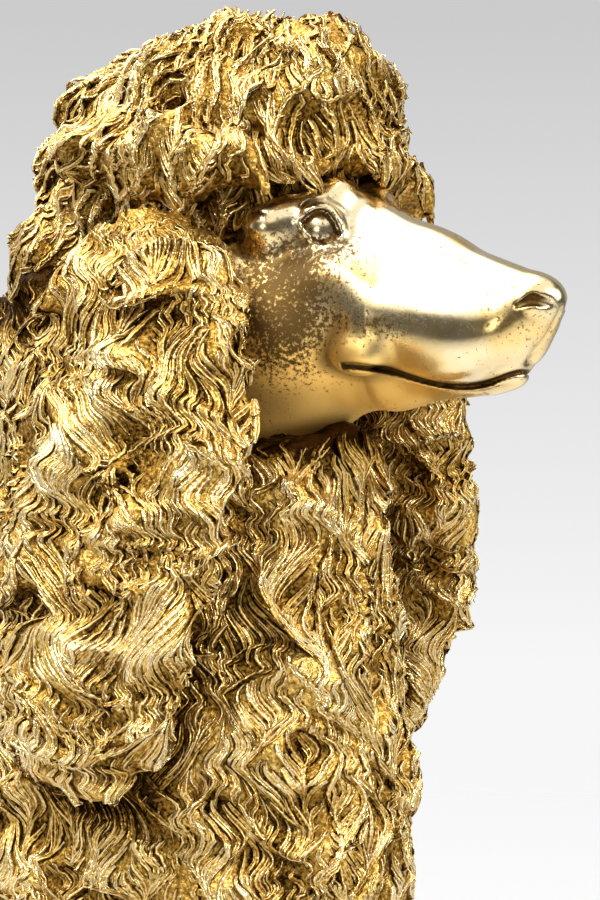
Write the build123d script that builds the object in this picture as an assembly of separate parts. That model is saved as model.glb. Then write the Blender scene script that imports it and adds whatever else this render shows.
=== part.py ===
"""Seated poodle figurine: hollow slip-cast pieces, gilded and glued together over dowels.

Millimetres. +Z is up, -Y is the way the dog faces, +X is the dog's left.
The origin is on the surface it stands on, at the centre of its bounding box.
"""

import os

from build123d import *

# ---- driving dimensions -------------------------------------------------
HEIGHT = 340.0  # floor to the top of the topknot
NOSE_REACH = 113.0  # origin to the nose tip, and to the back of the tail's pompom
PAD = 1.2  # felt pads under everything that rests on the floor
WALL = 4.5  # cast wall
FUR_WALL = 6.0  # cast wall where the outside is carved fur
GLUE = 0.25  # glue gap between castings
PIN_GAP = 0.1  # glue gap around a dowel
BORE_SPARE = 0.5  # a blind hole is this much deeper than its dowel
PAST = 1.0  # how far a cutting shape runs past the face that it cuts
ROOM = 400.0  # edge of a cutting block larger than the whole dog

# ---- body: level sections as (z, y centre, half width, half depth) -------
MANE_SECTIONS = [
    (98, -2, 42, 50),
    (112, -3, 47, 57),
    (135, -4, 50, 62),
    (157, -3, 50, 64),
    (185, -6, 47, 59),
    (215, -8, 42, 53),
    (245, -7, 39, 50),
    (262, -6, 38.5, 50.5),
    (272, -7, 37, 48),
    (277, -9, 32, 42),
]
RUMP_SECTIONS = [
    (PAD, 44, 34, 38),
    (12, 44, 42, 46),
    (35, 42, 46, 50),
    (60, 34, 44, 47),
    (85, 18, 38, 42),
    (98, 8, 33, 38),
]
MANE_FLOOR, MANE_TOP = MANE_SECTIONS[0][0], MANE_SECTIONS[-1][0]
WAIST_Y, WAIST_RADIUS, WAIST_RISE, WAIST_ROOT = 8, 27.0, 10.0, 10.0  # spigot on top of the rump

# ---- head: upright sections as (y, z centre, half width, half height) ----
HEAD_SECTIONS = [
    (12, 273, 16, 16),
    (2, 273, 25, 25),
    (-18, 272, 29, 28),
    (-38, 270.5, 28.5, 28),
    (-56, 269.5, 24.5, 26.5),
    (-70, 266.5, 19.5, 21.5),
    (-86, 264, 15.5, 16.5),
    (-100, 262.5, 12.5, 13),
]
NOSE_CENTRE, NOSE_SIZE = (0, -104.5, 267.0), (8.5, 8.5, 7.5)
CHIN_CENTRE, CHIN_SIZE = (0, -98, 256.5), (9.5, 9, 8.5)
EYE_CENTRE, EYE_RADIUS = (14.0, -56.5, 287.0), 6.5
MOUTH_CORNER_Y, MOUTH_Z, MOUTH_GROOVE, MOUTH_DEPTH = -70, 255.0, 0.8, 1.5
MOUTH_SPAN = 60  # wider and longer than the muzzle

# ---- fur masses as (centre, half sizes) ----------------------------------
TOPKNOT = ((0, -18, 298), (40, 54, HEIGHT - 298))
FRONT_CUFF = ((23, -37, 30), (19, 20, 18))
HIND_CUFF = ((49, 27, 24), (17, 21, 19))
TAIL_POMPOM = ((0, NOSE_REACH - 20, 90), (20, 20, 20))
HAUNCH = ((38, 26, 44), (18, 40, 37))
HAUNCH_FACE_X = 36

# ---- ears: level sections as (z, x centre, y centre, half thickness, half width)
EAR_SECTIONS = [
    (162, 55, -20, 5, 14),
    (170, 56, -22, 9, 23),
    (188, 55, -25, 10.5, 30),
    (212, 51, -29, 10.5, 34.5),
    (240, 47, -32, 10, 33),
    (262, 43, -31, 9.5, 28),
    (280, 39, -29, 8, 22),
    (289, 37, -28, 5, 14),
]

# ---- legs, tail and what holds them --------------------------------------
LEG_X, LEG_Y, LEG_RADIUS, ANKLE_RADIUS, ANKLE_Z = 22, -36, 11.0, 8.5, 14
PAW_SIZE, PAW_FORWARD, PAW_RISE = (10.5, 17.0, 9.0), 9, 5
LEG_ROD_RADIUS, LEG_ROD_SPAN = 2.5, (30, 124)
BOSS_RADIUS, BOSS_HEIGHT = 8.0, 22.0
HIND_FOOT_X, HIND_FOOT_FRONT, HIND_FOOT_BACK = 47, -25, 34
HIND_FOOT_HALF_WIDTH, HIND_FOOT_HALF_HEIGHT, HIND_FOOT_RISE = 9.5, 8.5, 6
TAIL_ROOT, TAIL_TIP, TAIL_RADIUS = (0, 80, 44), (0, 92, 82), 5.5
NECK_DECK, NECK_Y, NECK_RADIUS, NECK_WALL, NECK_SPAN = 239, -16, 17.0, 3.5, (230, 268)
EAR_DOWEL_Y, EAR_DOWEL_Z, EAR_DOWEL_RADIUS, EAR_DOWEL_SPAN = -30, 264, 2.5, (18, 46)

# ---- underside -----------------------------------------------------------
BASE_Y, BASE_RADIUS, BASE_THICK = 44, 28.0, 5.0
BUNG_RADIUS, BUNG_HEAD_RADIUS, BUNG_HEAD, BUNG_GAP = 9.0, 13.0, 2.4, 0.06
BUNG_INSET, BUNG_PROUD, REBATE_GAP = 0.6, 1.5, 0.5  # below the felt, above the plate, round the head
BALLAST_RADIUS, BALLAST_TOP, BALLAST_GAP = 27.0, 40.0, 3.0
PAW_PAD_RADIUS, BASE_PAD_INNER, BASE_PAD_OUTER = 6.0, 15.0, 26.0
HIND_PAD_Y = 2


def level_loft(sections, grow=0.0):
    """Solid through level ellipses, each (z, y centre, half width, half depth)."""
    return loft([Pos(0, y, z) * Ellipse(a + grow, b + grow) for z, y, a, b in sections])


def ellipsoid(centre, half_sizes, grow=0.0):
    sizes = tuple(h + grow for h in half_sizes)
    return Pos(*centre) * scale(Sphere(1), by=sizes)


def rod(start, end, radius):
    """Round bar between two points."""
    axis = Vector(*end) - Vector(*start)
    plane = Plane(origin=start, z_dir=axis)
    return plane * Cylinder(radius, axis.length, align=(Align.CENTER, Align.CENTER, Align.MIN))


def slab(z_low, z_high):
    """Everything between two levels."""
    return Pos(0, 0, z_low) * Box(ROOM, ROOM, z_high - z_low, align=(Align.CENTER, Align.CENTER, Align.MIN))


def disc(x, y, z, radius, thick):
    return rod((x, y, z), (x, y, z + thick), radius)


def at_side(centre, side):
    return (side * centre[0], centre[1], centre[2])


def both_sides(make):
    """What make(side) returns for the dog's left (+1) and right (-1), as one compound of solids."""
    return Compound(children=[solid for side in (1, -1) for solid in make(side).solids()])


# ---- head ----------------------------------------------------------------
def head_form(grow=0.0):
    sections = []
    for y, z, half_width, half_height in HEAD_SECTIONS:
        plane = Plane(origin=(0, y, z), x_dir=(1, 0, 0), z_dir=(0, -1, 0))
        sections.append(plane * Ellipse(half_width + grow, half_height + grow))
    return loft(sections)


def mouth_groove():
    """Shallow slit round the muzzle, below the upper lip."""
    slit = Pos(0, MOUTH_CORNER_Y - MOUTH_SPAN / 2, MOUTH_Z) * Box(MOUTH_SPAN, MOUTH_SPAN, MOUTH_GROOVE)
    return slit - head_form(-MOUTH_DEPTH)


def head_shell():
    nose = ellipsoid(NOSE_CENTRE, NOSE_SIZE)
    chin = ellipsoid(CHIN_CENTRE, CHIN_SIZE)
    eyes = [Pos(*at_side(EYE_CENTRE, side)) * Sphere(EYE_RADIUS) for side in (1, -1)]
    outside = head_form() + nose + chin + eyes[0] + eyes[1]
    low, high = NECK_SPAN
    neck_bore = disc(0, NECK_Y, low, NECK_RADIUS + PIN_GAP, high - low + PAST)
    return outside - mouth_groove() - head_form(-WALL) - neck_bore - ear_dowel_bore()


def neck_spigot():
    low, high = NECK_SPAN
    outside = disc(0, NECK_Y, low, NECK_RADIUS, high - low)
    return outside - disc(0, NECK_Y, low, NECK_RADIUS - NECK_WALL, high - low)


def topknot_cap():
    centre, sizes = TOPKNOT
    shell = ellipsoid(centre, sizes) - ellipsoid(centre, sizes, -FUR_WALL)
    shell -= slab(0, MANE_TOP + GLUE)
    shell -= head_form(GLUE)
    for side in (1, -1):
        shell -= ear_form(side, GLUE)
        eye = at_side(EYE_CENTRE, side)
        shell -= Pos(*eye) * Sphere(EYE_RADIUS + GLUE)
    return largest(shell)


def largest(shape):
    """The largest solid of a cut, without the crumbs the cut leaves."""
    return max(shape.solids(), key=lambda solid: solid.volume)


# ---- ears ----------------------------------------------------------------
def ear_form(side, grow=0.0):
    return loft(
        [
            Pos(side * x, y, z) * Ellipse(thick + grow, wide + grow)
            for z, x, y, thick, wide in EAR_SECTIONS
        ]
    )


def ear(side):
    """Hanging ear, hollowed by the head and the mane that it lies on, with a blind hole for its dowel."""
    flap = ear_form(side) - head_form(GLUE) - level_loft(MANE_SECTIONS, GLUE)
    return largest(flap - ear_dowel_bore())


def ear_dowel_bore():
    """One line of drilling from ear to ear."""
    reach = EAR_DOWEL_SPAN[1] + BORE_SPARE
    start, end = (-reach, EAR_DOWEL_Y, EAR_DOWEL_Z), (reach, EAR_DOWEL_Y, EAR_DOWEL_Z)
    return rod(start, end, EAR_DOWEL_RADIUS + PIN_GAP)


def ear_dowel(side):
    inner, outer = EAR_DOWEL_SPAN
    start, end = (side * inner, EAR_DOWEL_Y, EAR_DOWEL_Z), (side * outer, EAR_DOWEL_Y, EAR_DOWEL_Z)
    return rod(start, end, EAR_DOWEL_RADIUS)


# ---- trunk ---------------------------------------------------------------
def mane_shell():
    """Upper body: hollow, with a floor for the waist and the legs and a deck for the neck."""
    outside = level_loft(MANE_SECTIONS) - head_form(GLUE) - ear_dowel_bore()
    hollow = level_loft(MANE_SECTIONS, -FUR_WALL) & slab(MANE_FLOOR + FUR_WALL, NECK_DECK)
    body = outside - hollow
    for side in (1, -1):
        body += disc(side * LEG_X, LEG_Y, MANE_FLOOR, BOSS_RADIUS, FUR_WALL + BOSS_HEIGHT)
        start = (side * LEG_X, LEG_Y, MANE_FLOOR - PAST)
        end = (side * LEG_X, LEG_Y, LEG_ROD_SPAN[1] + BORE_SPARE)
        body -= rod(start, end, LEG_ROD_RADIUS + PIN_GAP)
    body -= disc(0, WAIST_Y, MANE_FLOOR - PAST, WAIST_RADIUS + GLUE, FUR_WALL + 2 * PAST)
    low, high = NECK_SPAN
    body -= disc(0, NECK_Y, low - PAST, NECK_RADIUS + PIN_GAP, high - low + 2 * PAST)
    return largest(body)


def rump_shell():
    """Lower body: hollow, with a spigot up into the mane and a rebate for the base plate."""
    outside = level_loft(RUMP_SECTIONS)
    top = RUMP_SECTIONS[-1][0] - GLUE
    outside = outside & slab(0, top)
    outside += disc(0, WAIST_Y, top - WAIST_ROOT, WAIST_RADIUS, WAIST_RISE + WAIST_ROOT)
    hollow = level_loft(RUMP_SECTIONS, -WALL) & slab(PAD + BASE_THICK, top - WALL)
    hollow += disc(0, WAIST_Y, top - WALL - PAST, WAIST_RADIUS - WALL, WAIST_RISE + WALL + 2 * PAST)
    body = outside - hollow - disc(0, BASE_Y, 0, BASE_RADIUS + PIN_GAP, PAD + BASE_THICK + PAST)
    body -= rod(TAIL_ROOT, TAIL_TIP, TAIL_RADIUS + PIN_GAP)
    for side in (1, -1):
        centre, sizes = HAUNCH
        body -= ellipsoid(at_side(centre, side), sizes, GLUE) & haunch_side(side)
    return largest(body)


def haunch_side(side):
    """The half space outside the face where a haunch is glued to the rump."""
    return Pos(side * (HAUNCH_FACE_X + ROOM / 2), 0, 0) * Box(ROOM, ROOM, ROOM)


def haunch(side):
    centre, sizes = HAUNCH
    thigh = ellipsoid(at_side(centre, side), sizes) & haunch_side(side)
    cuff_centre, cuff_sizes = HIND_CUFF
    thigh -= ellipsoid(at_side(cuff_centre, side), cuff_sizes, GLUE)
    thigh -= foot_form(side, GLUE)
    return largest(thigh)


# ---- legs and feet -------------------------------------------------------
def leg_form(side, grow=0.0):
    """Shank, from the mane to the ankle."""
    return loft(
        [
            Pos(side * LEG_X, LEG_Y, MANE_FLOOR - GLUE) * Circle(LEG_RADIUS + grow),
            Pos(side * LEG_X, LEG_Y, ANKLE_Z) * Circle(ANKLE_RADIUS + grow),
        ]
    )


def paw_form(side, grow=0.0):
    return ellipsoid((side * LEG_X, LEG_Y - PAW_FORWARD, PAD + PAW_RISE), PAW_SIZE, grow)


def front_leg(side):
    ankle = disc(side * LEG_X, LEG_Y, PAD, ANKLE_RADIUS, ANKLE_Z)
    leg = (leg_form(side) + ankle + paw_form(side)) & slab(PAD, HEIGHT)
    low, high = LEG_ROD_SPAN
    start, end = (side * LEG_X, LEG_Y, low - BORE_SPARE), (side * LEG_X, LEG_Y, high)
    leg -= rod(start, end, LEG_ROD_RADIUS + PIN_GAP)
    return largest(leg)


def front_cuff(side):
    centre, sizes = FRONT_CUFF
    cuff = ellipsoid(at_side(centre, side), sizes)
    cuff -= leg_form(side, GLUE)
    cuff -= disc(side * LEG_X, LEG_Y, 0, ANKLE_RADIUS + GLUE, ANKLE_Z + PAST)
    return largest(cuff - paw_form(side, GLUE))


def leg_rod(side):
    low, high = LEG_ROD_SPAN
    return rod((side * LEG_X, LEG_Y, low), (side * LEG_X, LEG_Y, high), LEG_ROD_RADIUS)


def foot_form(side, grow=0.0):
    length = HIND_FOOT_BACK - HIND_FOOT_FRONT
    middle = (HIND_FOOT_BACK + HIND_FOOT_FRONT) / 2
    sizes = (HIND_FOOT_HALF_WIDTH, length / 2, HIND_FOOT_HALF_HEIGHT)
    sole = ellipsoid((side * HIND_FOOT_X, middle, PAD + HIND_FOOT_RISE), sizes, grow)
    return sole & slab(PAD - grow, HEIGHT)


def hind_foot(side):
    return largest(foot_form(side))


def hind_cuff(side):
    centre, sizes = HIND_CUFF
    cuff = ellipsoid(at_side(centre, side), sizes) - foot_form(side, GLUE)
    return largest(cuff - level_loft(RUMP_SECTIONS, GLUE))


# ---- tail ----------------------------------------------------------------
def tail_stem():
    return rod(TAIL_ROOT, TAIL_TIP, TAIL_RADIUS)


def tail_pompom():
    centre, sizes = TAIL_POMPOM
    tip = Vector(*TAIL_TIP)
    beyond = tip + (tip - Vector(*TAIL_ROOT)).normalized() * BORE_SPARE
    return largest(ellipsoid(centre, sizes) - rod(TAIL_ROOT, tuple(beyond), TAIL_RADIUS + PIN_GAP))


# ---- underside -----------------------------------------------------------
def base_plate():
    plate = disc(0, BASE_Y, PAD, BASE_RADIUS, BASE_THICK)
    plate -= disc(0, BASE_Y, PAD - PAST, BUNG_RADIUS + BUNG_GAP, BASE_THICK + 2 * PAST)
    plate -= disc(0, BASE_Y, PAD - PAST, BUNG_HEAD_RADIUS + REBATE_GAP, BUNG_HEAD + PAST)
    return plate


def drain_bung():
    head_low = PAD + BUNG_INSET
    head = disc(0, BASE_Y, head_low, BUNG_HEAD_RADIUS, BUNG_HEAD - BUNG_INSET)
    shank = disc(0, BASE_Y, head_low, BUNG_RADIUS, BASE_THICK + BUNG_PROUD)
    return head + shank


def ballast_block():
    low = PAD + BASE_THICK + BALLAST_GAP
    return disc(0, BASE_Y, low, BALLAST_RADIUS, BALLAST_TOP - low)


def paw_pads(side):
    front = disc(side * LEG_X, LEG_Y - PAW_FORWARD / 2, 0, PAW_PAD_RADIUS, PAD)
    hind = disc(side * HIND_FOOT_X, HIND_PAD_Y, 0, PAW_PAD_RADIUS, PAD)
    return front + hind


def base_pad():
    """Felt ring round the bung."""
    return disc(0, BASE_Y, 0, BASE_PAD_OUTER, PAD) - disc(0, BASE_Y, -PAST, BASE_PAD_INNER, PAD + 2 * PAST)


# ---- writing the parts -----------------------------------------------------
def all_parts():
    parts = {
        "head_shell": head_shell(),
        "neck_spigot": neck_spigot(),
        "topknot_cap": topknot_cap(),
        "mane_shell": mane_shell(),
        "rump_shell": rump_shell(),
        "tail_stem": tail_stem(),
        "tail_pompom": tail_pompom(),
        "base_plate": base_plate(),
        "drain_bung": drain_bung(),
        "ballast_block": ballast_block(),
        "base_pad": base_pad(),
        "paw_pads": both_sides(paw_pads),
        "ear_dowels": both_sides(ear_dowel),
        "leg_rods": both_sides(leg_rod),
    }
    paired = {
        "ear": ear,
        "front_leg": front_leg,
        "front_cuff": front_cuff,
        "haunch": haunch,
        "hind_foot": hind_foot,
        "hind_cuff": hind_cuff,
    }
    for name, make in paired.items():
        right = make(-1)
        parts[f"{name}_right"] = right
        parts[f"{name}_left"] = mirror(right, Plane.YZ)
    return parts


os.makedirs("parts", exist_ok=True)
for node, shape in all_parts().items():
    export_step(shape, f"parts/{node}.step")
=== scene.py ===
import math

import bpy
import numpy as np
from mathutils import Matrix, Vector


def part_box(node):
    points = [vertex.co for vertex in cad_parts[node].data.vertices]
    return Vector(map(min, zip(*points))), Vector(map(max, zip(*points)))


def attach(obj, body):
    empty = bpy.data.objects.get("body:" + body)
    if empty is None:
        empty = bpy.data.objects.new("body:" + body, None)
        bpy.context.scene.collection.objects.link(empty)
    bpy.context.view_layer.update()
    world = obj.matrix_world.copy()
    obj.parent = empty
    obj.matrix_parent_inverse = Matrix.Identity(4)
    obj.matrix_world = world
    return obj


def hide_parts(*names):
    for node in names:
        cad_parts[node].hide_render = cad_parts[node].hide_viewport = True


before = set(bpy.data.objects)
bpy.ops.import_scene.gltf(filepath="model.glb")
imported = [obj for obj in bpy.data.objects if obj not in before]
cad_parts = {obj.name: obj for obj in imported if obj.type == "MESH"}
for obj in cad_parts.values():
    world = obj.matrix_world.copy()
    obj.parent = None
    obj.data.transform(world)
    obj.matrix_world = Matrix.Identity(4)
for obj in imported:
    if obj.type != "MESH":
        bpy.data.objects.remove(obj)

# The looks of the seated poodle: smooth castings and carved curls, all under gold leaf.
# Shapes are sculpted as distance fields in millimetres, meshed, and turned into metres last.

MM = 0.001
DOWN = np.array([0.0, 0.0, -1.0])
SIDES = (("left", 1), ("right", -1))
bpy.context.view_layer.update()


class Box:
    """A CAD node's box in millimetres."""

    def __init__(self, node):
        lo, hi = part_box(node)
        self.lo, self.hi = np.array(lo) / MM, np.array(hi) / MM
        self.mid, self.half = (self.lo + self.hi) / 2, (self.hi - self.lo) / 2


# ---- distance fields -----------------------------------------------------
def length(v):
    return np.sqrt((v * v).sum(-1))


def union(a, b, k=0.001):
    """Smooth minimum; k is how far the fillet reaches."""
    h = np.clip(0.5 + 0.5 * (b - a) / k, 0, 1)
    return b + (a - b) * h - k * h * (1 - h)


def cut(a, b, k=0.001):
    """a without b."""
    return -union(-a, b, k)


def common(a, b, k=0.001):
    return -union(-a, -b, k)


def blob(p, centre, radii):
    """Ellipsoid."""
    q = (p - np.array(centre, np.float32)) / np.array(radii, np.float32)
    r = length(q)
    return r * (r - 1) / np.maximum(length(q / np.array(radii, np.float32)), 1e-6)


def limb(p, start, start_radius, end, end_radius):
    """Round-ended cone."""
    start, end = np.array(start, np.float32), np.array(end, np.float32)
    line = end - start
    t = np.clip((p - start) @ line / (line @ line), 0, 1)
    return length(p - start - t[..., None] * line) - start_radius - t * (end_radius - start_radius)


def waves(p, wavelength, seed, count=7):
    """Smooth noise between about -1 and 1."""
    rng = np.random.default_rng(seed)
    directions = rng.normal(size=(count, 3))
    directions /= length(directions)[:, None]
    total = 0
    for direction in directions:
        k = 2 * math.pi / wavelength * rng.uniform(0.75, 1.3)
        total = total + np.sin(p @ (direction * k).astype(np.float32) + rng.uniform(0, 2 * math.pi))
    return total / math.sqrt(count * 0.7)


def gradient(field, p, h=0.15):
    """Unit normal of a field, by central differences."""
    g = np.stack([field(p + h * e) - field(p - h * e) for e in np.eye(3, dtype=np.float32)], -1)
    return g / np.maximum(length(g), 1e-9)[..., None]


# ---- meshing -------------------------------------------------------------
BLOCK = 4


def sample_near(field, grid, step):
    """The field on a grid, exact near its surface and roughly right, block by block, elsewhere."""
    coarse = grid[::BLOCK, ::BLOCK, ::BLOCK] + np.float32(step * (BLOCK - 1) / 2)
    rough = field(coarse)
    for axis in range(3):
        rough = np.repeat(rough, BLOCK, axis)
    d = rough[tuple(slice(0, n) for n in grid.shape[:3])].astype(np.float32)
    near = np.abs(d) < step * BLOCK * 1.5
    d[near] = field(grid[near])
    return d


def mesh_field(field, lo, hi, step, polish=2):
    """Quads on a field's zero surface: one vertex in each grid cell that it crosses."""
    axes = [np.arange(a - step, b + 2 * step, step, dtype=np.float32) for a, b in zip(lo, hi)]
    grid = np.stack(np.meshgrid(*axes, indexing="ij"), -1)
    d = sample_near(field, grid, step)
    shape = np.array(d.shape)
    total = np.zeros((*(shape - 1), 3), np.float32)
    count = np.zeros(tuple(shape - 1), np.float32)
    crossings = []
    for axis in range(3):
        low = [slice(None)] * 3
        high = [slice(None)] * 3
        low[axis], high[axis] = slice(0, -1), slice(1, None)
        a, b = d[tuple(low)], d[tuple(high)]
        hit = (a < 0) != (b < 0)
        t = np.where(hit, a / np.where(hit, a - b, 1), 0)
        point = grid[tuple(low)] + 0
        point[..., axis] += t * step
        others = [i for i in range(3) if i != axis]
        for da in (0, 1):
            for db in (0, 1):
                cells, source = [slice(None)] * 3, [slice(None)] * 3
                for other, shift in zip(others, (da, db)):
                    n = shape[other]
                    source[other] = slice(1 - shift, n - shift)
                    cells[other] = slice(0, n - 1)
                total[tuple(cells)] += (point * hit[..., None])[tuple(source)]
                count[tuple(cells)] += hit[tuple(source)]
        crossings.append((axis, others, hit, a < 0))
    number = np.full(count.shape, -1)
    used = count > 0
    number[used] = np.arange(used.sum())
    verts = total[used] / count[used][:, None]
    quads = []
    for axis, others, hit, inside_low in crossings:
        i = np.argwhere(hit)
        i = i[np.all([(i[:, o] > 0) & (i[:, o] < shape[o] - 1) for o in others], axis=0)]
        corners = []
        for da, db in ((1, 1), (0, 1), (0, 0), (1, 0)):
            j = i.copy()
            j[:, others[0]] -= da
            j[:, others[1]] -= db
            corners.append(number[tuple(j.T)])
        quad = np.stack(corners, -1)
        flip = inside_low[tuple(i.T)] == (axis == 1)
        quad[flip] = quad[flip][:, ::-1]
        quads.append(quad)
    for _ in range(polish):
        verts = verts - gradient(field, verts) * field(verts)[:, None] * 0.9
    return verts, np.concatenate(quads)


def make_piece(name, verts, faces, material, replaced, attributes=None, uv=None):
    """A mesh object from millimetre vertices and quads, riding on the figurine."""
    mesh = bpy.data.meshes.new(name)
    mesh.vertices.add(len(verts))
    mesh.vertices.foreach_set("co", (verts * MM).astype(np.float32).ravel())
    mesh.loops.add(faces.size)
    mesh.loops.foreach_set("vertex_index", faces.astype(np.int32).ravel())
    mesh.polygons.add(len(faces))
    mesh.polygons.foreach_set("loop_start", np.arange(0, faces.size, faces.shape[1], dtype=np.int32))
    mesh.polygons.foreach_set("use_smooth", np.ones(len(faces), bool))
    for key, values in (attributes or {}).items():
        mesh.attributes.new(key, "FLOAT", "POINT").data.foreach_set("value", values.astype(np.float32))
    if uv is not None:
        mesh.uv_layers.new(name="OFBake").data.foreach_set("uv", uv.astype(np.float32).ravel())
    mesh.update(calc_edges=True)
    mesh.validate()
    mesh.materials.append(material)
    piece = bpy.data.objects.new(name, mesh)
    bpy.context.scene.collection.objects.link(piece)
    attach(piece, "figurine")
    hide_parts(*replaced)
    return piece


# ---- carved fur ----------------------------------------------------------
LOCK_WAVE = 13  # length of one wave of a lock


class Fur:
    """A mass of carved locks: a smooth envelope, its relief, and the way its strands run.

    Swing is how far the waves turn the strands, in radians; relief is the height of the waves' crests;
    puffs are the height and the width of the tufts.
    """

    def __init__(self, envelope, down, wavelength, swing, relief, puffs, seed):
        self.envelope, self.down = envelope, down
        self.wavelength, self.swing = wavelength, swing
        self.relief, self.puffs, self.seed = relief, puffs, seed

    def phase(self, p):
        """Where along its wave a strand is; neighbouring locks drift out of step."""
        travel = (p * self.down(p)).sum(-1)
        return 2 * math.pi * travel / self.wavelength + 2.9 * waves(p, 1.7 * self.wavelength, self.seed)

    def height(self, p):
        """Relief over the envelope: puffs with creases between them, and the crests of the waves."""
        size, across = self.puffs
        swell = waves(p, across, self.seed + 1)
        crease = 1.2 - 2.2 * np.abs(waves(p, 0.9 * across, self.seed + 2))
        return size * (0.45 * swell + 0.6 * np.maximum(crease, -1.2)) + self.relief * np.cos(self.phase(p))

    def field(self, p):
        return self.envelope(p) - self.height(p)

    def flow(self, p, normal):
        """Unit direction of the strands at p, in the surface."""
        d = self.down(p)
        d = d - (d * normal).sum(-1)[..., None] * normal
        d = d / np.maximum(length(d), 1e-6)[..., None]
        angle = (self.swing * np.sin(self.phase(p)))[..., None]
        return d * np.cos(angle) + np.cross(normal, d) * np.sin(angle)


def hanging(p):
    return np.broadcast_to(DOWN, p.shape)


def leaving(centre):
    """Away from a point, which lies over the top of the mass."""

    def down(p):
        d = p - np.array(centre)
        return d / np.maximum(length(d), 1e-6)[..., None]

    return down


def surface_points(field, origins, directions, reach):
    """Where rays that start inside a field leave it, by bisection."""
    low, high = np.zeros(len(origins)), np.full(len(origins), float(reach))
    for _ in range(16):
        middle = (low + high) / 2
        inside = field(origins + directions * middle[:, None]) < 0
        low, high = np.where(inside, middle, low), np.where(inside, high, middle)
    return origins + directions * low[:, None]


def seed_rows(field, rays, levels, pitch, reach, rng):
    """Evenly spaced roots in rings round a shape, a ring at each level."""
    seeds = []
    turn = np.linspace(0, 2 * math.pi, 181)
    for level, spacing in zip(levels, np.gradient(levels)):
        ring = surface_points(field, *rays(np.full(len(turn), level), turn), reach)
        arc = np.concatenate([[0], np.cumsum(length(np.diff(ring, axis=0)))])
        count = int(arc[-1] / pitch)
        if count < 3:
            continue
        wanted = (np.arange(count) + rng.uniform(-0.3, 0.3, count) + rng.uniform()) % count
        angles = np.interp(wanted * arc[-1] / count, arc, turn)
        jittered = level + spacing * rng.uniform(-0.5, 0.5, count)
        seeds.append(surface_points(field, *rays(jittered, angles), reach))
    return np.concatenate(seeds)


def upright_rays(centre_at):
    """Level rays outward from a spine; levels are heights."""

    def rays(level, angle):
        out = np.stack([np.cos(angle), np.sin(angle), 0 * angle], -1)
        return centre_at(level), out

    return rays


def round_rays(centre, pole):
    """Rays from a centre; levels are angles from the pole."""
    pole = np.array(pole) / np.linalg.norm(pole)
    side = np.cross(pole, [1.0, 0, 0])
    side /= np.linalg.norm(side)
    other = np.cross(pole, side)

    def rays(level, angle):
        out = np.sin(level)[:, None] * (np.cos(angle)[:, None] * side + np.sin(angle)[:, None] * other)
        out = out + np.cos(level)[:, None] * pole
        return np.broadcast_to(np.array(centre), out.shape), out

    return rays


RINGS = 9
MAX_JUMP = 2.5  # a strand that would leap further than this across a crease is left out


def comb(fur, seeds, rng, reach, radius, lift):
    """Strands laid over the fur from their roots: left edge, crest and right edge at each ring."""
    count = len(seeds)
    stride = reach / (RINGS - 1) * rng.uniform(0.75, 1.25, count)
    rise = rng.uniform(-0.25, 0.5, count)
    flick = rng.uniform(-0.2, 1.0, count) ** 3
    p = seeds
    path, normals = [], []
    smooth = np.ones(count, bool)
    for ring in range(RINGS):
        along = ring / (RINGS - 1)
        normal = gradient(fur.field, p, 0.7)
        clearance = rise + lift * (math.sin(math.pi * min(1, along * 1.25)) - 0.4) + 0.4 * flick * along**3
        shift = fur.field(p) - clearance
        smooth &= np.abs(shift) < MAX_JUMP
        p = p - normal * shift[:, None]
        path.append(p)
        normals.append(normal)
        p = p + fur.flow(p, normal) * stride[:, None]
    path, normals = np.array(path)[:, smooth], np.array(normals)[:, smooth]
    tangent = np.gradient(path, axis=0)
    side = np.cross(tangent, normals)
    side /= np.maximum(length(side), 1e-6)[..., None]
    along = np.linspace(0, 1, RINGS)[:, None]
    taper = np.sin(math.pi * (0.14 + 0.81 * along)) ** 0.7
    width = (radius * rng.uniform(0.75, 1.25, path.shape[1]) * taper)[..., None]
    foot, crest = normals * width * 0.5, normals * width * 0.2
    return np.stack([path - side * width - foot, path + crest, path + side * width - foot], 2)


def atlas_cells(count):
    """Lower left corner of each strand's cell in the upper part of the bake atlas, and a cell's size."""
    width = math.sqrt(0.75 / (3.5 * count))
    columns = int(1 / width)
    rows = math.ceil(count / columns)
    size = np.array([1 / columns, 0.75 / rows])
    index = np.arange(count)
    return np.stack([index % columns, index // columns], -1) * size + [0, 0.25], size


def wrap_map(verts, faces, middle):
    """The under-surface's share of the bake atlas: unrolled round the upright axis."""
    turn = np.arctan2(verts[:, 1] - middle[1], verts[:, 0] - middle[0]) / (2 * math.pi) + 0.5
    low, high = verts[:, 2].min(), verts[:, 2].max()
    u, v = turn[faces], (verts[:, 2][faces] - low) / (high - low)
    u = np.where((np.ptp(u, axis=1) > 0.5)[:, None] & (u < 0.5), u + 1, u)
    return np.stack([u / 1.6, v * 0.23 + 0.005], -1).reshape(-1, 2)


BED_DEPTH, BED_STEP = 0.7, 1.6  # the under-surface lies this deep, and is meshed this finely
FUR_MARGIN = 5.0  # the relief stays this close to the CAD box
HIDDEN_DEPTH = 6.0  # no strands start deeper than this inside another piece
SHADE_FADE = 0.07  # share of the painted shade lost with each millimetre from another piece


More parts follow.
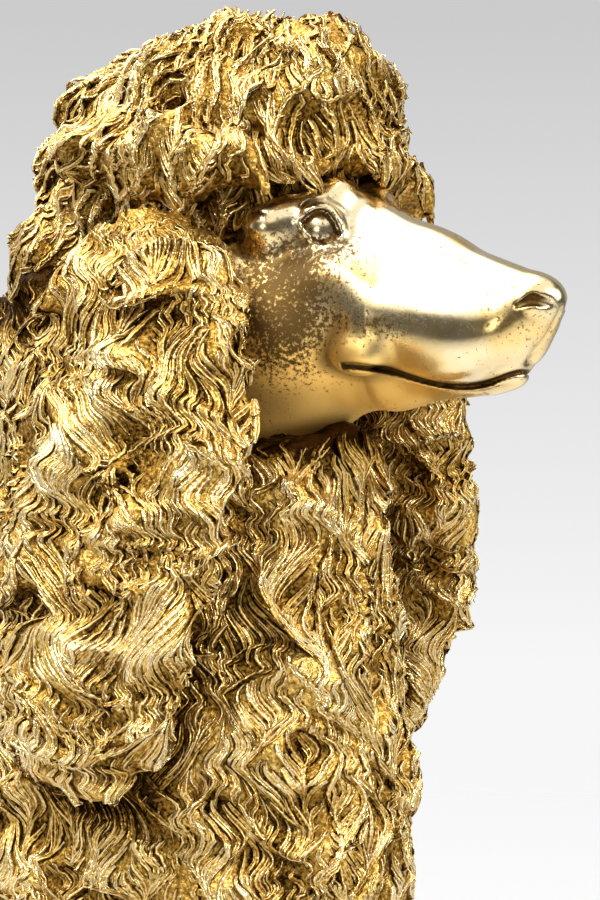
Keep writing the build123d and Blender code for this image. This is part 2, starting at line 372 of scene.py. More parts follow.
def fur_piece(name, node, fur, seeds, seed, box, reach=11.0, radius=0.88, lift=0.4, hidden=(), shade=1.7):
    """The sunken under-surface and the strands over it, as one mesh, with painted shade: darker where the
    relief sinks and towards what covers it.
    """
    rng = np.random.default_rng(seed)

    def bed(p):
        return fur.field(p) + BED_DEPTH

    verts, faces = mesh_field(bed, box.lo - FUR_MARGIN, box.hi + FUR_MARGIN, BED_STEP, polish=1)
    for cover in hidden:
        seeds = seeds[cover(seeds) > -HIDDEN_DEPTH]
    rings = comb(fur, seeds, rng, reach, radius, lift)
    count = rings.shape[1]
    strand_verts = rings.transpose(1, 0, 2, 3).reshape(-1, 3)
    ring, lane = np.meshgrid(np.arange(RINGS - 1), np.arange(2), indexing="ij")
    first = (ring * 3 + lane).ravel()
    quads = np.stack([first, first + 1, first + 4, first + 3], -1)
    quads = (quads[None] + np.arange(count)[:, None, None] * RINGS * 3).reshape(-1, 4)
    corner, size = atlas_cells(count)
    inner = np.stack(np.meshgrid(np.linspace(0.1, 0.9, RINGS), [0.12, 0.5, 0.88], indexing="ij"), -1)
    cell = (inner[..., ::-1].reshape(-1, 2) * size)[None] + corner[:, None]
    strand_uv = cell.reshape(-1, 2)[quads].reshape(-1, 2)
    everything = np.concatenate([verts, strand_verts])
    # painted shade: darker where the relief sinks between the tufts, and darker still near the pieces that
    # cover it
    occlusion_shade = np.clip(0.5 - fur.height(everything) * 0.2, 0, 1)
    for cover in hidden:
        occlusion_shade = np.maximum(occlusion_shade, shade * (1 - SHADE_FADE * np.maximum(cover(everything), 0)))
    attributes = {
        "ridge": np.concatenate([np.zeros(len(verts)), np.tile([0.0, 1.0, 0.0], RINGS * count)]),
        "across": np.concatenate([np.zeros(len(verts)), np.tile([-1.0, 0.0, 1.0], RINGS * count)]),
        "tone": np.concatenate([np.full(len(verts), 0.3), np.repeat(rng.uniform(0, 1, count), RINGS * 3)]),
        "occlusion_shade": occlusion_shade,
    }
    uv = np.concatenate([wrap_map(verts, faces, box.mid), strand_uv])
    all_faces = np.concatenate([faces, quads + len(verts)])
    return make_piece(name, everything, all_faces, GOLD_FUR, [node], attributes, uv)


# ---- materials -----------------------------------------------------------
class Paint:
    """A node material with one Principled shader."""

    def __init__(self, name, **constants):
        self.material = bpy.data.materials.new(name)
        self.material.use_nodes = True
        self.tree = self.material.node_tree
        self.shader = self.tree.nodes["Principled BSDF"]
        self.set(self.shader, constants)

    def set(self, node, sockets):
        for name, value in sockets.items():
            socket = node.inputs[name.replace("_", " ") if isinstance(name, str) else name]
            if isinstance(value, bpy.types.NodeSocket):
                self.tree.links.new(value, socket)
            else:
                socket.default_value = value

    def add(self, kind, sockets=None, **settings):
        node = self.tree.nodes.new("ShaderNode" + kind)
        for key, value in settings.items():
            setattr(node, key, value)
        self.set(node, sockets or {})
        return node

    def position(self):
        return self.add("TexCoord").outputs["Object"]

    def noise(self, size_mm, detail=3.0, roughness=0.5):
        """Noise whose features are about that many millimetres across."""
        sockets = {
            "Vector": self.position(),
            "Scale": 1 / (size_mm * MM),
            "Detail": detail,
            "Roughness": roughness,
        }
        return self.add("TexNoise", sockets).outputs["Fac"]

    def attribute(self, name):
        return self.add("Attribute", attribute_name=name).outputs["Fac"]

    def math(self, operation, a, b=0.0):
        return self.add("Math", {0: a, 1: b}, operation=operation).outputs[0]

    def remap(self, value, low, high, to_low=0.0, to_high=1.0):
        sockets = {0: value, 1: low, 2: high, 3: to_low, 4: to_high}
        return self.add("MapRange", sockets, clamp=True).outputs[0]

    def ramp(self, value, *stops):
        """Colour ramp of (position, (r, g, b)) stops."""
        node = self.add("ValToRGB", {0: value})
        elements = node.color_ramp.elements
        while len(elements) < len(stops):
            elements.new(0.5)
        for element, (position, colour) in zip(elements, stops):
            element.position = position
            element.color = (*colour, 1)
        return node.outputs[0]

    def mix(self, share, a, b):
        """Mix of two colours."""
        node = self.add("Mix", data_type="RGBA")
        for index, value in ((0, share), (6, a), (7, b)):
            self.set(node, {index: (*value, 1) if isinstance(value, tuple) else value})
        return node.outputs[2]

    def bump(self, height, strength, depth_mm):
        sockets = {"Height": height, "Strength": strength, "Distance": depth_mm * MM}
        return self.add("Bump", sockets).outputs[0]

    def finish(self, **links):
        self.set(self.shader, links)
        return self.material


def gold_fur_material():
    """Crumpled leaf on the crests of the strands; painted shade in dark brown down their edges, in the
    grooves between them and near the pieces that cover them.
    """
    paint = Paint("gilt_fur", Metallic=1.0)
    tone = paint.attribute("tone")
    across = paint.math("MULTIPLY", paint.attribute("across"), 6.5)
    turn = paint.math("ADD", across, paint.math("MULTIPLY", tone, 20))
    groove = paint.math("MULTIPLY", paint.math("COSINE", turn), 0.5)
    crinkle = paint.noise(0.9, 2.0)
    height = paint.math("ADD", paint.attribute("ridge"), paint.math("MULTIPLY", groove, 0.6))
    height = paint.math("ADD", height, paint.math("MULTIPLY", paint.math("SUBTRACT", crinkle, 0.5), 1.4))
    height = paint.math("SUBTRACT", height, paint.math("MULTIPLY", paint.attribute("occlusion_shade"), 0.6))
    # colour by height: pale leaf up on the crests, painted shade in dark brown lower down
    leaf = paint.ramp(
        paint.remap(height, -0.6, 0.9),
        (0.12, (0.04, 0.016, 0.003)),
        (0.4, (0.41, 0.22, 0.035)),
        (0.65, (0.92, 0.625, 0.175)),
        (0.95, (1.0, 0.855, 0.53)),
    )
    dull = paint.math("MULTIPLY", tone, 0.12)
    roughness = paint.math("ADD", paint.remap(height, 0.0, 1.1, 0.45, 0.11), dull)
    relief = paint.math("ADD", groove, paint.math("MULTIPLY", crinkle, 1.8))
    return paint.finish(Base_Color=leaf, Roughness=roughness, Normal=paint.bump(relief, 1.0, 0.3))


def gold_smooth_material():
    """Burnished leaf, redder low down, partly as a painted reflection of the gold chest; a grey-brown
    patina speckles it, and painted shade in the same brown fills its creases.
    """
    paint = Paint("gilt_smooth", Metallic=1.0)
    cloud = paint.math("ADD", paint.noise(1.0, 6.0, 0.7), paint.math("MULTIPLY", paint.noise(24, 2.0), 0.3))
    cloud = paint.math("ADD", cloud, paint.math("MULTIPLY", paint.attribute("worn"), 0.24))
    worn = paint.remap(cloud, 0.74, 0.86, 0.0, 0.95)
    # worn patina speckles, joined by painted shade in the creases
    patina_and_shade = paint.math("MAXIMUM", worn, paint.remap(paint.attribute("occlusion_shade"), 0.2, 0.6))
    # the leaf's warmth varies at random, and it is redder low on the jaw and throat: partly ochre in the
    # leaf, partly a painted reflection of the gold chest
    low_down = paint.attribute("warmth_and_reflection")
    warmth_and_reflection = paint.math("ADD", paint.noise(14, 3.0), paint.math("MULTIPLY", low_down, 0.4))
    warm = paint.ramp(
        warmth_and_reflection,
        (0.4, (0.94, 0.79, 0.50)),
        (0.62, (0.92, 0.67, 0.29)),
        (0.85, (1.0, 0.66, 0.19)),
    )
    colour = paint.mix(patina_and_shade, warm, (0.115, 0.06, 0.014))
    roughness = paint.remap(patina_and_shade, 0, 1, 0.12, 0.4)
    roughness = paint.math("ADD", roughness, paint.math("MULTIPLY", paint.noise(5), 0.1))
    roughness = paint.math("ADD", roughness, paint.math("MULTIPLY", low_down, 0.34))
    dents = paint.bump(paint.noise(2.6, 3.0), 0.2, 0.12)
    return paint.finish(Base_Color=colour, Roughness=roughness, Normal=dents)


def matt_material(name, dark, light, grain_mm, roughness, depth_mm):
    """A dry, slightly uneven surface."""
    paint = Paint(name)
    grain = paint.noise(grain_mm, 5.0, 0.6)
    colour = paint.ramp(grain, (0.3, dark), (0.7, light))
    rough = paint.remap(grain, 0.2, 0.8, roughness, min(1.0, roughness + 0.12))
    return paint.finish(Base_Color=colour, Roughness=rough, Normal=paint.bump(grain, 0.6, depth_mm))


GOLD_FUR = gold_fur_material()
GOLD_SMOOTH = gold_smooth_material()


# ---- head ----------------------------------------------------------------
HEAD = Box("head_shell")
NOSE_TIP = np.array([0, HEAD.lo[1], HEAD.mid[2] - 0.3])
EYE = np.array([11.8, 56.0, 15.0])
EYE_RADIUS = 5.9


def head_local(p):
    """x to the side, y back from the nose tip, z up from it."""
    return (p - NOSE_TIP).astype(np.float32)


def mouth_height(y):
    """Height of the mouth line: rising to the front lip and to the corner."""
    front = 5.6 * np.clip((22 - y) / 17, 0, 1.1) ** 2
    corner = 4.7 * (0.5 - 0.5 * np.cos(math.pi * np.clip((y - 22) / 22, 0, 1)))
    return -20.4 + front + corner


def eye_frame(q):
    """Forward, up and out coordinates round the near eye's centre."""
    out = np.array([0.80, -0.60, 0.06])
    forward = np.array([-0.58, -0.79, -0.20])
    forward -= out * (forward @ out)
    forward /= np.linalg.norm(forward)
    up = np.cross(forward, out)
    up *= np.sign(up[2])
    d = q - EYE.astype(np.float32)
    return d @ forward.astype(np.float32), d @ up.astype(np.float32), d @ out.astype(np.float32)


def almond(a, b, grow):
    """Outline of the open eye, pointed at both corners and lower in front."""
    b = b + 0.12 * a
    upper = b - (4.1 - 0.18 * a**2) - grow
    lower = -b - (3.8 - 0.16 * a**2) - grow
    return np.maximum(upper, lower)


def lid_edge(lid):
    """Points along the upper or lower edge of the opening, over the eyeball."""
    a = np.linspace(-4.8, 4.8, 7)
    b = (4.1 - 0.18 * a**2 if lid == "upper" else -3.8 + 0.16 * a**2) - 0.12 * a
    reach = EYE_RADIUS + (0.9 if lid == "upper" else 0.5)
    return np.stack([a, b, np.sqrt(np.maximum(reach**2 - a**2 - b**2, 0.5))], -1)


def eye(q, d):
    """Lids swelling from the socket, open in an almond over the eyeball, with a fold above."""
    e = np.stack(eye_frame(q), -1)
    a, b, c = e[..., 0], e[..., 1], e[..., 2]
    ball = length(e) - EYE_RADIUS
    d = union(d, ball - 0.8, 4)
    for lid, thick, fillet in (("upper", 1.05, 1.6), ("lower", 0.6, 1.2)):
        edge = lid_edge(lid)
        for start, end in zip(edge, edge[1:]):
            d = union(d, limb(e, start, thick, end, thick), fillet)
    d = cut(d, np.maximum(almond(a, b, 0.0), -c), 0.5)
    fold = [(-6.0, 2.4, 4.0), (-3.2, 5.6, 5.3), (0.5, 6.8, 4.7), (4.7, 5.0, 4.1)]
    for start, end in zip(fold, fold[1:]):
        d = cut(d, limb(e, start, 0.35, end, 0.35), 1.3)
    return np.minimum(d, ball)


def head_field(p):
    q = head_local(p)
    q[..., 0] = np.abs(q[..., 0])
    d = blob(q, (0, 84, 1), (28, 36, 30))
    d = union(d, limb(q, (0, 10.0, -3.4), 8.3, (0, 34, 4.3), 9.8), 4)
    d = union(d, limb(q, (0, 34, 4.3), 9.8, (0, 58, 14.6), 12.4), 6)
    d = union(d, blob(q, (13, 67, -7), (14, 18, 16)), 7)
    d = union(d, blob(q, (12, 53, 3), (9, 12, 9)), 6)
    d = union(d, limb(q, (7.5, 55, 22.5), 5.3, (20, 65, 15.5), 6.0), 4)
    d = union(d, limb(q, (4.5, 14.5, -7.6), 6.0, (9.3, 41, -6.0), 9.0), 9)
    jaw = limb(q, (0, 18, -17.4), 5.0, (0, 42, -15), 9.2)
    jaw = union(jaw, limb(q, (0, 44, -13.2), 11.5, (0, 78, -8), 24), 5)
    jaw = union(jaw, limb(q, (0, 74, -20), 15, (0, 96, -52), 19), 8)
    d = union(d, jaw, 3)
    d = union(d, blob(q, (7.3, 25.5, -11.3), (6.3, 14.6, 8.4)), 6)
    d = union(d, blob(q, (15.8, 43.0, -13.8), (4.0, 5.4, 4.0)), 5.0)
    d = nose(q, d)
    line = mouth_height(q[..., 1]) - q[..., 2]
    gape = 0.2 + 0.35 * np.clip(q[..., 1] / 40, 0, 1)
    slit = np.maximum(np.abs(line) - gape, q[..., 1] - 45)
    d = cut(d, np.maximum(slit, -d - 0.9), 1.1)
    d = cut(d, limb(q, (10.6, 51.0, 12.0), 0.8, (11.8, 45.5, 7.5), 0.4), 1.6)
    return eye(q, d)


def nose(q, d):
    """Nose leather with its wings, nostrils and the groove below, and the split front lip."""
    d = union(d, blob(q, (0, 5.9, -1.6), (6.2, 5.9, 5.0)), 2.5)
    d = union(d, blob(q, (4.7, 7.0, -3.0), (3.5, 4.7, 3.7)), 0.7)
    d = union(d, blob(q, (3.0, 12.3, -10.4), (4.6, 6.0, 6.0)), 2.0)
    d = union(d, blob(q, (0, 14.0, -17.2), (5.6, 5.0, 4.2)), 2)
    d = cut(d, limb(q, (3.6, 0.4, -3.3), 1.0, (6.6, 3.4, -2.2), 1.3), 0.6)
    d = cut(d, limb(q, (6.6, 3.4, -2.2), 1.3, (8.4, 6.4, -3.6), 0.5), 0.6)
    return cut(d, limb(q, (0, -0.4, -3.5), 0.35, (0, 6.4, -14.5), 0.5), 1.2)


# where the leaf is rubbed through: place, size and strength
WORN = [
    ((20, 60, -1), (15, 12, 13), 1.6),
    ((12, 49, 8), (5, 5, 6), 0.8),
    ((14, 34, -7), (9, 10, 4.0), 0.9),
    ((7, 12, -6), (5, 5, 4), 0.7),
]


def make_head():
    lo, hi = HEAD.lo - 1.5, HEAD.hi + 1.5
    lo[2] -= 12
    verts, faces = mesh_field(head_field, lo, hi, 0.5)
    normals = gradient(head_field, verts)
    # painted shade: darker in the creases, the less room the field leaves round each point; the eyeball is
    # kept nearly clear
    occlusion_shade = [1 - np.clip(head_field(verts + normals * reach) / reach, 0, 1) for reach in (0.8, 2.5)]
    q = head_local(verts)
    q[:, 0] = np.abs(q[:, 0])
    on_eye = length(q - EYE) < EYE_RADIUS + 0.15
    # redder low on the jaw and throat: partly ochre in the leaf, partly a painted reflection of the gold
    # chest
    throat = np.clip((-q[:, 2] - 6) / 10, 0, 1) * np.clip((q[:, 1] - 20) / 20, 0, 1)
    worn = sum(share * np.exp(-(length((q - place) / size) ** 2)) for place, size, share in WORN)
    attributes = {
        "occlusion_shade": np.where(on_eye, 0.1, np.maximum(*occlusion_shade)),
        "worn": np.minimum(worn, 1),
        "warmth_and_reflection": throat + 0.3 * np.clip((q[:, 1] - 38) / 15, 0, 1) * np.clip((10 - q[:, 2]) / 8, 0, 1),
    }
    return make_piece("head", verts, faces, GOLD_SMOOTH, ["head_shell"], attributes)


# ---- fur pieces ----------------------------------------------------------
def section_field(box, heights, middles, halves):
    """Upright solid with elliptical sections: all arguments as fractions of the box."""
    heights, middles, halves = np.array(heights), np.array(middles), np.array(halves)

    def field(p):
        w = (p[..., 2] - box.lo[2]) / (2 * box.half[2])
        cx, cy = (np.interp(w, heights, middles[:, i]) * box.half[i] + box.mid[i] for i in (0, 1))
        a, b = (np.interp(w, heights, halves[:, i]) * box.half[i] for i in (0, 1))
        x, y = p[..., 0] - cx, p[..., 1] - cy
        r = np.sqrt((x / a) ** 2 + (y / b) ** 2)
        wall = r * (r - 1) / np.maximum(np.sqrt((x / a**2) ** 2 + (y / b**2) ** 2), 1e-6)
        ends = np.maximum(box.lo[2] - p[..., 2], p[..., 2] - box.hi[2])
        return common(wall, ends, 6)

    return field


TOPKNOT = Box("topknot_cap")
TOPKNOT_CENTRE = TOPKNOT.mid - [0, 0, 10.6]
# side, back and up from the middle of the cap's box; half sizes
TOPKNOT_LOBES = [
    ((0, -2, -10.6), (33, 43, 32)),
    ((0, -9, 3.4), (30, 30, 27.5)),
    ((0, -30, 4.4), (25.5, 15.5, 24.5)),
    ((0, -31, -9.6), (28, 15.5, 17)),
    ((0, 18, 4.4), (28, 18, 21)),
    ((0, 24, -6.6), (31, 20, 19)),
    ((0, 31, -26.6), (35, 19, 18)),
    ((20, -8, 6.4), (15, 18, 17)),
    ((-20, -8, 6.4), (15, 18, 17)),
    ((18, 14, 4.4), (15, 15, 15)),
    ((-18, 14, 4.4), (15, 15, 15)),
]
TOPKNOT_ROLL = [((31, 12, -2), 8.5), ((34, -12, -4), 11.0), ((33, -28, -11), 9.0), ((30, -35, -19), 6.5)]


def topknot_envelope(p):
    """Big rolls of hair, cut back behind the hairline over the face."""
    q = head_local(p)
    mass = None
    for place, size in TOPKNOT_LOBES:
        lobe = blob(p, TOPKNOT.mid + place, size)
        mass = lobe if mass is None else union(mass, lobe, 1.5)
    for side in (1, -1):
        ends = [(TOPKNOT.mid + np.array(place) * [side, 1, 1], size) for place, size in TOPKNOT_ROLL]
        for end, following in zip(ends, ends[1:]):
            mass = union(mass, limb(p, *end, *following), 1.2)
    hairline = 59 + 0.42 * np.abs(q[..., 0])
    face = common(q[..., 1] - hairline, q[..., 2] - 31 + 0.25 * np.abs(q[..., 0]), 6)
    return cut(mass, face, 5)


def make_topknot():
    pole = (0, 0.1, 1)
    parting = TOPKNOT_CENTRE + [0, -32, 62]
    locks = {"wavelength": LOCK_WAVE, "swing": 0.75, "relief": 0.5, "puffs": (2.3, 21)}
    fur = Fur(topknot_envelope, leaving(parting), **locks, seed=11)
    rays = round_rays(TOPKNOT_CENTRE - [0, 0, 6], pole)
    spacing = 4.4 / TOPKNOT.half.mean()
    levels = np.arange(0.5 * spacing, math.radians(128), spacing)
    seeds = seed_rows(fur.field, rays, levels, pitch=1.0, reach=80, rng=np.random.default_rng(1))
    style = {"reach": 10.0, "lift": 0.3, "shade": 1.0}
    return fur_piece("topknot", "topknot_cap", fur, seeds, 2, TOPKNOT, hidden=[head_field], **style)


MANE = Box("mane_shell")
mane_envelope = section_field(
    MANE,
    [0, 0.08, 0.21, 0.33, 0.49, 0.65, 0.82, 0.92, 1],
    [(0, 0.02), (0, 0), (0, -0.01), (0, 0), (0, -0.04), (0, -0.07), (0, -0.06), (0, -0.05), (0, -0.08)],
    [
        (0.80, 0.76), (0.91, 0.87), (0.96, 0.95), (0.96, 0.98), (0.92, 0.90), (0.82, 0.81), (0.76, 0.77),
        (0.77, 0.78), (0.78, 0.78),
    ],
)


def mane_below_throat(p):
    """The mane starts below the bare throat."""
    q = head_local(p)
    throat = np.maximum(q[..., 1] - 84, -30 - 0.1 * (q[..., 1] - 60) - q[..., 2])
    return cut(mane_envelope(p), throat, 3)


def make_mane():
    locks = {"wavelength": LOCK_WAVE, "swing": 0.8, "relief": 0.8, "puffs": (2.4, 23)}
    fur = Fur(mane_below_throat, hanging, **locks, seed=23)

    def spine(level):
        return np.stack([0 * level, 0 * level + MANE.mid[1], level], -1)

    levels = np.arange(MANE.hi[2] - 2, MANE.lo[2] + 3, -5.5)
    rng = np.random.default_rng(3)
    seeds = seed_rows(fur.field, upright_rays(spine), levels, pitch=1.15, reach=110, rng=rng)
    covers = [head_field, topknot_envelope]
    covers += [ear_envelope(Box(f"ear_{word}"), side) for word, side in SIDES]
    return fur_piece("mane", "mane_shell", fur, seeds, 4, MANE, hidden=covers, shade=3.0)


# sections from the ear's tip up, as fractions of its box: height, where the middle lies, half sizes
EAR_HEIGHTS = [0, 0.07, 0.2, 0.35, 0.5, 0.65, 0.8, 0.93, 1]
EAR_OUTWARD = [0.35, 0.4, 0.4, 0.25, 0.08, -0.12, -0.42, -0.53, -0.55]
EAR_BACKWARD = [0.18, 0.17, 0.15, 0.13, 0.09, 0.06, 0.06, 0.07, 0.1]
EAR_SWING = 0.05  # the right ear hangs this much further forward, the left ear further back
EAR_HALVES = [
    (0.3, 0.28), (0.47, 0.5), (0.57, 0.72), (0.6, 0.86), (0.6, 0.9), (0.63, 0.89), (0.76, 0.79),
    (0.64, 0.57), (0.36, 0.3),
]


def ear_envelope(box, side):
    middles = [(side * x, y + side * EAR_SWING) for x, y in zip(EAR_OUTWARD, EAR_BACKWARD)]
    return section_field(box, EAR_HEIGHTS, middles, EAR_HALVES)


def make_ear(word, side):
    box = Box(f"ear_{word}")
    locks = {"wavelength": LOCK_WAVE, "swing": 0.85, "relief": 0.9, "puffs": (2.6, 23)}
    fur = Fur(ear_envelope(box, side), hanging, **locks, seed=31 + side)

    def spine(level):
        w = (level - box.lo[2]) / (2 * box.half[2])
        x = np.interp(w, EAR_HEIGHTS, EAR_OUTWARD) * side * box.half[0] + box.mid[0]
        y = np.interp(w, EAR_HEIGHTS, EAR_BACKWARD) * box.half[1] + box.mid[1]
        return np.stack([x, y, level], -1)

    shoulder = box.hi[2] - 9.5
    crown = np.arange(box.hi[2] - 1.5, shoulder + 0.5, -2.0)
    levels = np.concatenate([crown, np.arange(shoulder, box.lo[2] + 3, -5.0)])
    rng = np.random.default_rng(5 + side)
    seeds = seed_rows(fur.field, upright_rays(spine), levels, pitch=1.1, reach=60, rng=rng)
    hidden = [mane_envelope]
    return fur_piece(f"ear_{word}_curls", f"ear_{word}", fur, seeds, 6 + side, box, hidden=hidden)


def make_ball(name, node, seed):
    """A clipped ball of curls: a cuff or the tail's pompom."""
    box = Box(node)
    centre, radii = box.mid, box.half - 1.6

    def envelope(p):
        return blob(p, centre, radii)

    parting = centre + [0, 0, 2.2 * radii[2]]
    locks = {"wavelength": LOCK_WAVE, "swing": 0.7, "relief": 0.6, "puffs": (1.4, 15)}
    fur = Fur(envelope, leaving(parting), **locks, seed=seed)
    spacing = 5.0 / radii.mean()
    levels = np.arange(0.5 * spacing, math.radians(165), spacing)
    rays = round_rays(centre, (0, 0.05, 1))
    rng = np.random.default_rng(seed)
    seeds = seed_rows(fur.field, rays, levels, pitch=1.15, reach=60, rng=rng)
    return fur_piece(name, node, fur, seeds, seed + 1, box, reach=8.0, radius=0.85)


# ---- bare legs and haunches -------------------------------------------------
RUMP = Box("rump_shell")
rump_envelope = section_field(
    RUMP,
    [0, 0.10, 0.32, 0.55, 0.79, 0.91, 1],
    [(0, 0.20), (0, 0.20), (0, 0.17), (0, 0.04), (0, -0.22), (0, -0.38), (0, -0.38)],
    [(0.78, 0.62), (0.97, 0.75), (1.06, 0.81), (1.01, 0.77), (0.88, 0.68), (0.76, 0.62), (0.6, 0.5)],
)


def bare_piece(name, node, field, step=1.0, margin=3.0):
    """A smooth casting; its creases are darkened with painted shade."""
    box = Box(node)
    verts, faces = mesh_field(field, box.lo - margin, box.hi + margin, step)
    normals = gradient(field, verts)
    # painted shade: darker in the creases, the less room the field leaves round each point
    attributes = {"occlusion_shade": 1 - np.clip(field(verts + normals * 2) / 2, 0, 1)}
    return make_piece(name, verts, faces, GOLD_SMOOTH, [node], attributes)


def make_haunch(word, side):
    """Thigh with its stifle, flowing into the rump."""
    node = f"haunch_{word}"
    box = Box(node)
    inner = box.mid[0] - side * box.half[0]

    def field(p):
        q = (p - np.array([inner, box.mid[1], box.mid[2]])) * [side, 1, 1]
        thigh = blob(q, (2, 2, 1), (17.5, 37, 35))
        thigh = union(thigh, limb(q, (7, -22, 6), 12, (8, -8, -22), 9), 8)
        whole = union(thigh, rump_envelope(p), 9) + 0.25
        edge = common(thigh - 9, box.lo[2] - 1 - p[..., 2], 1)
        return common(cut(whole, rump_envelope(p) + 1.5), edge)

    return bare_piece(f"{node}_form", node, field)


def toes(q, front, width, size):
    """Four toes side by side, the middle two forward; q is from the middle of the sole."""
    d = None
    for place in (-1.5, -0.5, 0.5, 1.5):
        reach = front + 0.9 * size * abs(abs(place) - 0.5)
        toe = blob(q, (place * width / 4, reach + size, 0.9 * size), (width / 7.2, 1.5 * size, size))
        d = toe if d is None else union(d, toe, 0.5)
    return d


def make_front_leg(word, side):
    """Straight leg with its elbow's muscle, and a paw with toes."""
    node = f"front_leg_{word}"
    box = Box(node)

    def field(p):
        q = p - np.array([box.mid[0], box.mid[1], box.lo[2]])
        leg = limb(q, (0, 7.5, 97), 11.0, (0, 7.5, 40), 9.0)
        leg = union(leg, limb(q, (0, 7.5, 40), 9.0, (0, 6.5, 8), 8.4), 3)
        leg = union(leg, blob(q, (0, 10, 82), (9.5, 10, 17)), 6)
        paw = blob(q, (0, -5, 4.5), (9.6, 12, 7.4))
        paw = union(paw, toes(q, -18.8, 19, 4.6), 1.6)
        return common(union(leg, paw, 4), -q[..., 2], 0.5)

    return bare_piece(f"{node}_form", node, field)


def make_hind_foot(word, side):
    """Long hind foot with toes."""
    node = f"hind_foot_{word}"
    box = Box(node)

    def field(p):
        q = p - np.array([box.mid[0], box.mid[1], box.lo[2]])
        foot = limb(q, (0, 22, 6), 6.5, (0, -14, 5.0), 6.6)
        foot = union(foot, blob(q, (0, -15, 5), (8.8, 10, 7)), 4)
        foot = union(foot, toes(q, -29.6, 17.5, 4.4), 1.6)
        return common(foot, -q[..., 2], 0.5)

    return bare_piece(f"{node}_form", node, field)


# ---- everything ------------------------------------------------------------
make_head()
make_topknot()
make_mane()
for word, side in SIDES:
    make_ear(word, side)
    make_ball(f"front_cuff_{word}_curls", f"front_cuff_{word}", 50 + side)
    make_ball(f"hind_cuff_{word}_curls", f"hind_cuff_{word}", 60 + side)
    make_haunch(word, side)
    make_front_leg(word, side)
    make_hind_foot(word, side)
make_ball("tail_curls", "tail_pompom", 70)


def repaint(node, material):
    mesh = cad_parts[node].data
    mesh.materials.clear()
    mesh.materials.append(material)


BISQUE = matt_material("bisque", (0.66, 0.56, 0.45), (0.80, 0.72, 0.62), 3, 0.7, 0.08)
RUBBER = matt_material("bung_rubber", (0.02, 0.02, 0.02), (0.05, 0.05, 0.05), 2, 0.6, 0.05)
FELT = matt_material("felt", (0.05, 0.035, 0.03), (0.13, 0.10, 0.085), 0.7, 0.85, 0.2)
WOOD = matt_material("dowel_wood", (0.45, 0.28, 0.14), (0.68, 0.49, 0.30), 4, 0.55, 0.05)
PLASTER = matt_material("ballast", (0.78, 0.76, 0.71), (0.90, 0.88, 0.84), 6, 0.8, 0.1)
for material, nodes in (
    (GOLD_SMOOTH, ["rump_shell", "tail_stem"]),
    (BISQUE, ["base_plate", "neck_spigot"]),
    (RUBBER, ["drain_bung"]),
    (FELT, ["base_pad", "paw_pads"]),
    (WOOD, ["ear_dowels", "leg_rods"]),
    (PLASTER, ["ballast_block"]),
):
    for node in nodes:
        repaint(node, material)


# ---- stage, light and camera -----------------------------------------------
FLOOR_RADIUS, FLOOR_FADE = 4, (0.35, 1.3)


def make_floor():
    """Pale floor that fades into the backdrop far from the figurine."""
    bpy.ops.mesh.primitive_circle_add(vertices=96, radius=FLOOR_RADIUS, fill_type="NGON")
    floor = bpy.context.object
    floor.name = "floor"
    paint = Paint("floor", Base_Color=(0.52, 0.52, 0.52, 1), Roughness=0.6)
    span = paint.add("VectorMath", {0: paint.position()}, operation="LENGTH").outputs["Value"]
    paint.finish(Alpha=paint.remap(span, *FLOOR_FADE, 1.0, 0.0))
    floor.data.materials.append(paint.material)


VIEW_AZIMUTH = math.radians(-53)
TOWARDS_CAMERA = Vector((math.sin(VIEW_AZIMUTH), -math.cos(VIEW_AZIMUTH), 0))
CAMERA_RIGHT = Vector((math.cos(VIEW_AZIMUTH), math.sin(VIEW_AZIMUTH), 0))
UP = Vector((0, 0, 1))
# direction, half angles of the full and the faded disc in degrees, brightness
STUDIO_SOURCES = [
    (TOWARDS_CAMERA * 0.35 + UP, 44, 56, 1.0),
    (UP * 0.88 - CAMERA_RIGHT * 0.45 - TOWARDS_CAMERA * 0.1, 36, 46, 2.2),
    (CAMERA_RIGHT + UP * 0.3 + TOWARDS_CAMERA * 0.2, 10, 28, 2.2),
    (-CAMERA_RIGHT + UP * 0.2 - TOWARDS_CAMERA * 0.15, 20, 40, 0.8),
    (TOWARDS_CAMERA - CAMERA_RIGHT * 0.3 + UP * 0.1, 8, 14, 2.0),
    (-TOWARDS_CAMERA + UP * 0.15, 35, 65, 0.3),
    (-UP, 44, 60, 0.8),
]
STUDIO_DARK = 0.10


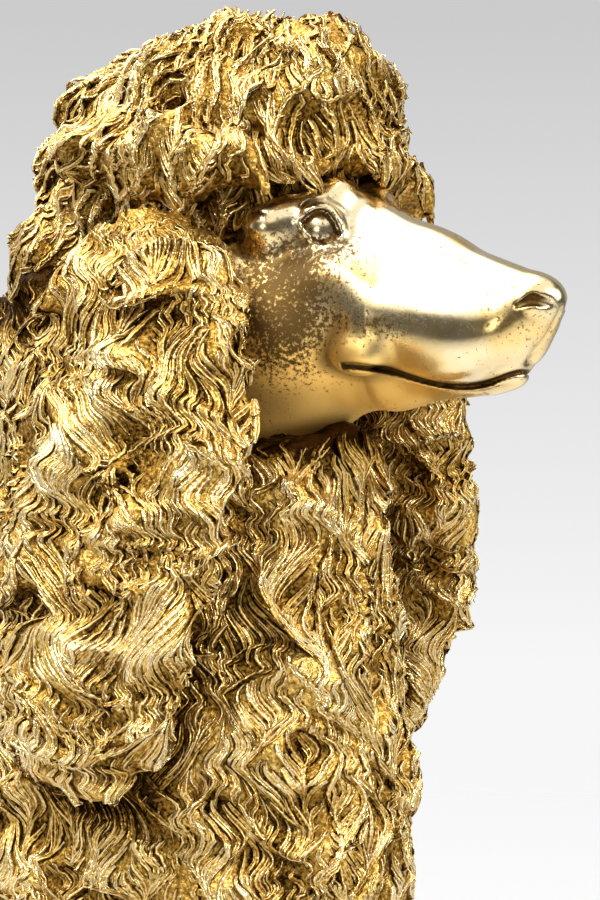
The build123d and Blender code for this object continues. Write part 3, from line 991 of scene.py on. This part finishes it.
def make_world():
    """Dark studio with soft sources by direction, and a pale backdrop that only the camera sees."""
    world = bpy.data.worlds.new("studio")
    bpy.context.scene.world = world
    world.use_nodes = True
    tree = world.node_tree

    def node(kind, *values, **settings):
        made = tree.nodes.new("ShaderNode" + kind)
        for key, value in settings.items():
            setattr(made, key, value)
        for socket, value in zip(made.inputs, values):
            if isinstance(value, bpy.types.NodeSocket):
                tree.links.new(value, socket)
            elif value is not None:
                socket.default_value = value
        return made

    direction = node("TexCoord").outputs["Generated"]
    level = node("Value").outputs[0]
    level.default_value = STUDIO_DARK
    for towards, full, faded, brightness in STUDIO_SOURCES:
        facing = node("VectorMath", direction, towards.normalized(), operation="DOT_PRODUCT")
        edges = math.cos(math.radians(faded)), math.cos(math.radians(full))
        limits = (*edges, 0.0, brightness)
        disc = node("MapRange", facing.outputs["Value"], *limits, interpolation_type="SMOOTHSTEP")
        level = node("Math", level, disc.outputs[0], operation="ADD").outputs[0]
    height = node("SeparateXYZ", direction).outputs["Z"]
    backdrop = node("MapRange", height, -0.1, 0.2, 0.93, 0.60).outputs[0]
    seen = node("LightPath").outputs["Is Camera Ray"]
    shade = node("Mix", seen, None, level, backdrop).outputs[0]
    tree.links.new(shade, tree.nodes["Background"].inputs["Color"])


def make_lamp(name, where, target, size, watts):
    data = bpy.data.lights.new(name, "AREA")
    data.shape, data.size, data.energy = "DISK", size, watts
    lamp = bpy.data.objects.new(name, data)
    bpy.context.scene.collection.objects.link(lamp)
    lamp.location = where
    lamp.rotation_euler = (Vector(target) - Vector(where)).to_track_quat("-Z", "Y").to_euler()


# the camera looks at the middle of the head and chest, from the head's height and close up
TARGET = Vector(NOSE_TIP * MM) + Vector((0, 0.0707, -0.0344))
DISTANCE = 0.499
LENS, SENSOR = 85, 36


def make_camera():
    data = bpy.data.cameras.new("camera")
    data.lens, data.sensor_width = LENS, SENSOR
    camera = bpy.data.objects.new("camera", data)
    bpy.context.scene.collection.objects.link(camera)
    camera.location = TARGET + TOWARDS_CAMERA * DISTANCE
    camera.rotation_euler = (-TOWARDS_CAMERA).to_track_quat("-Z", "Y").to_euler()
    bpy.context.scene.camera = camera


make_floor()
make_world()
make_camera()
make_lamp("key", (-1.1, -0.3, 1.4), TARGET, 0.5, 12)
make_lamp("fill", (0.1, -1.3, 0.9), TARGET, 0.4, 9)
bpy.context.scene.view_settings.view_transform = "Standard"
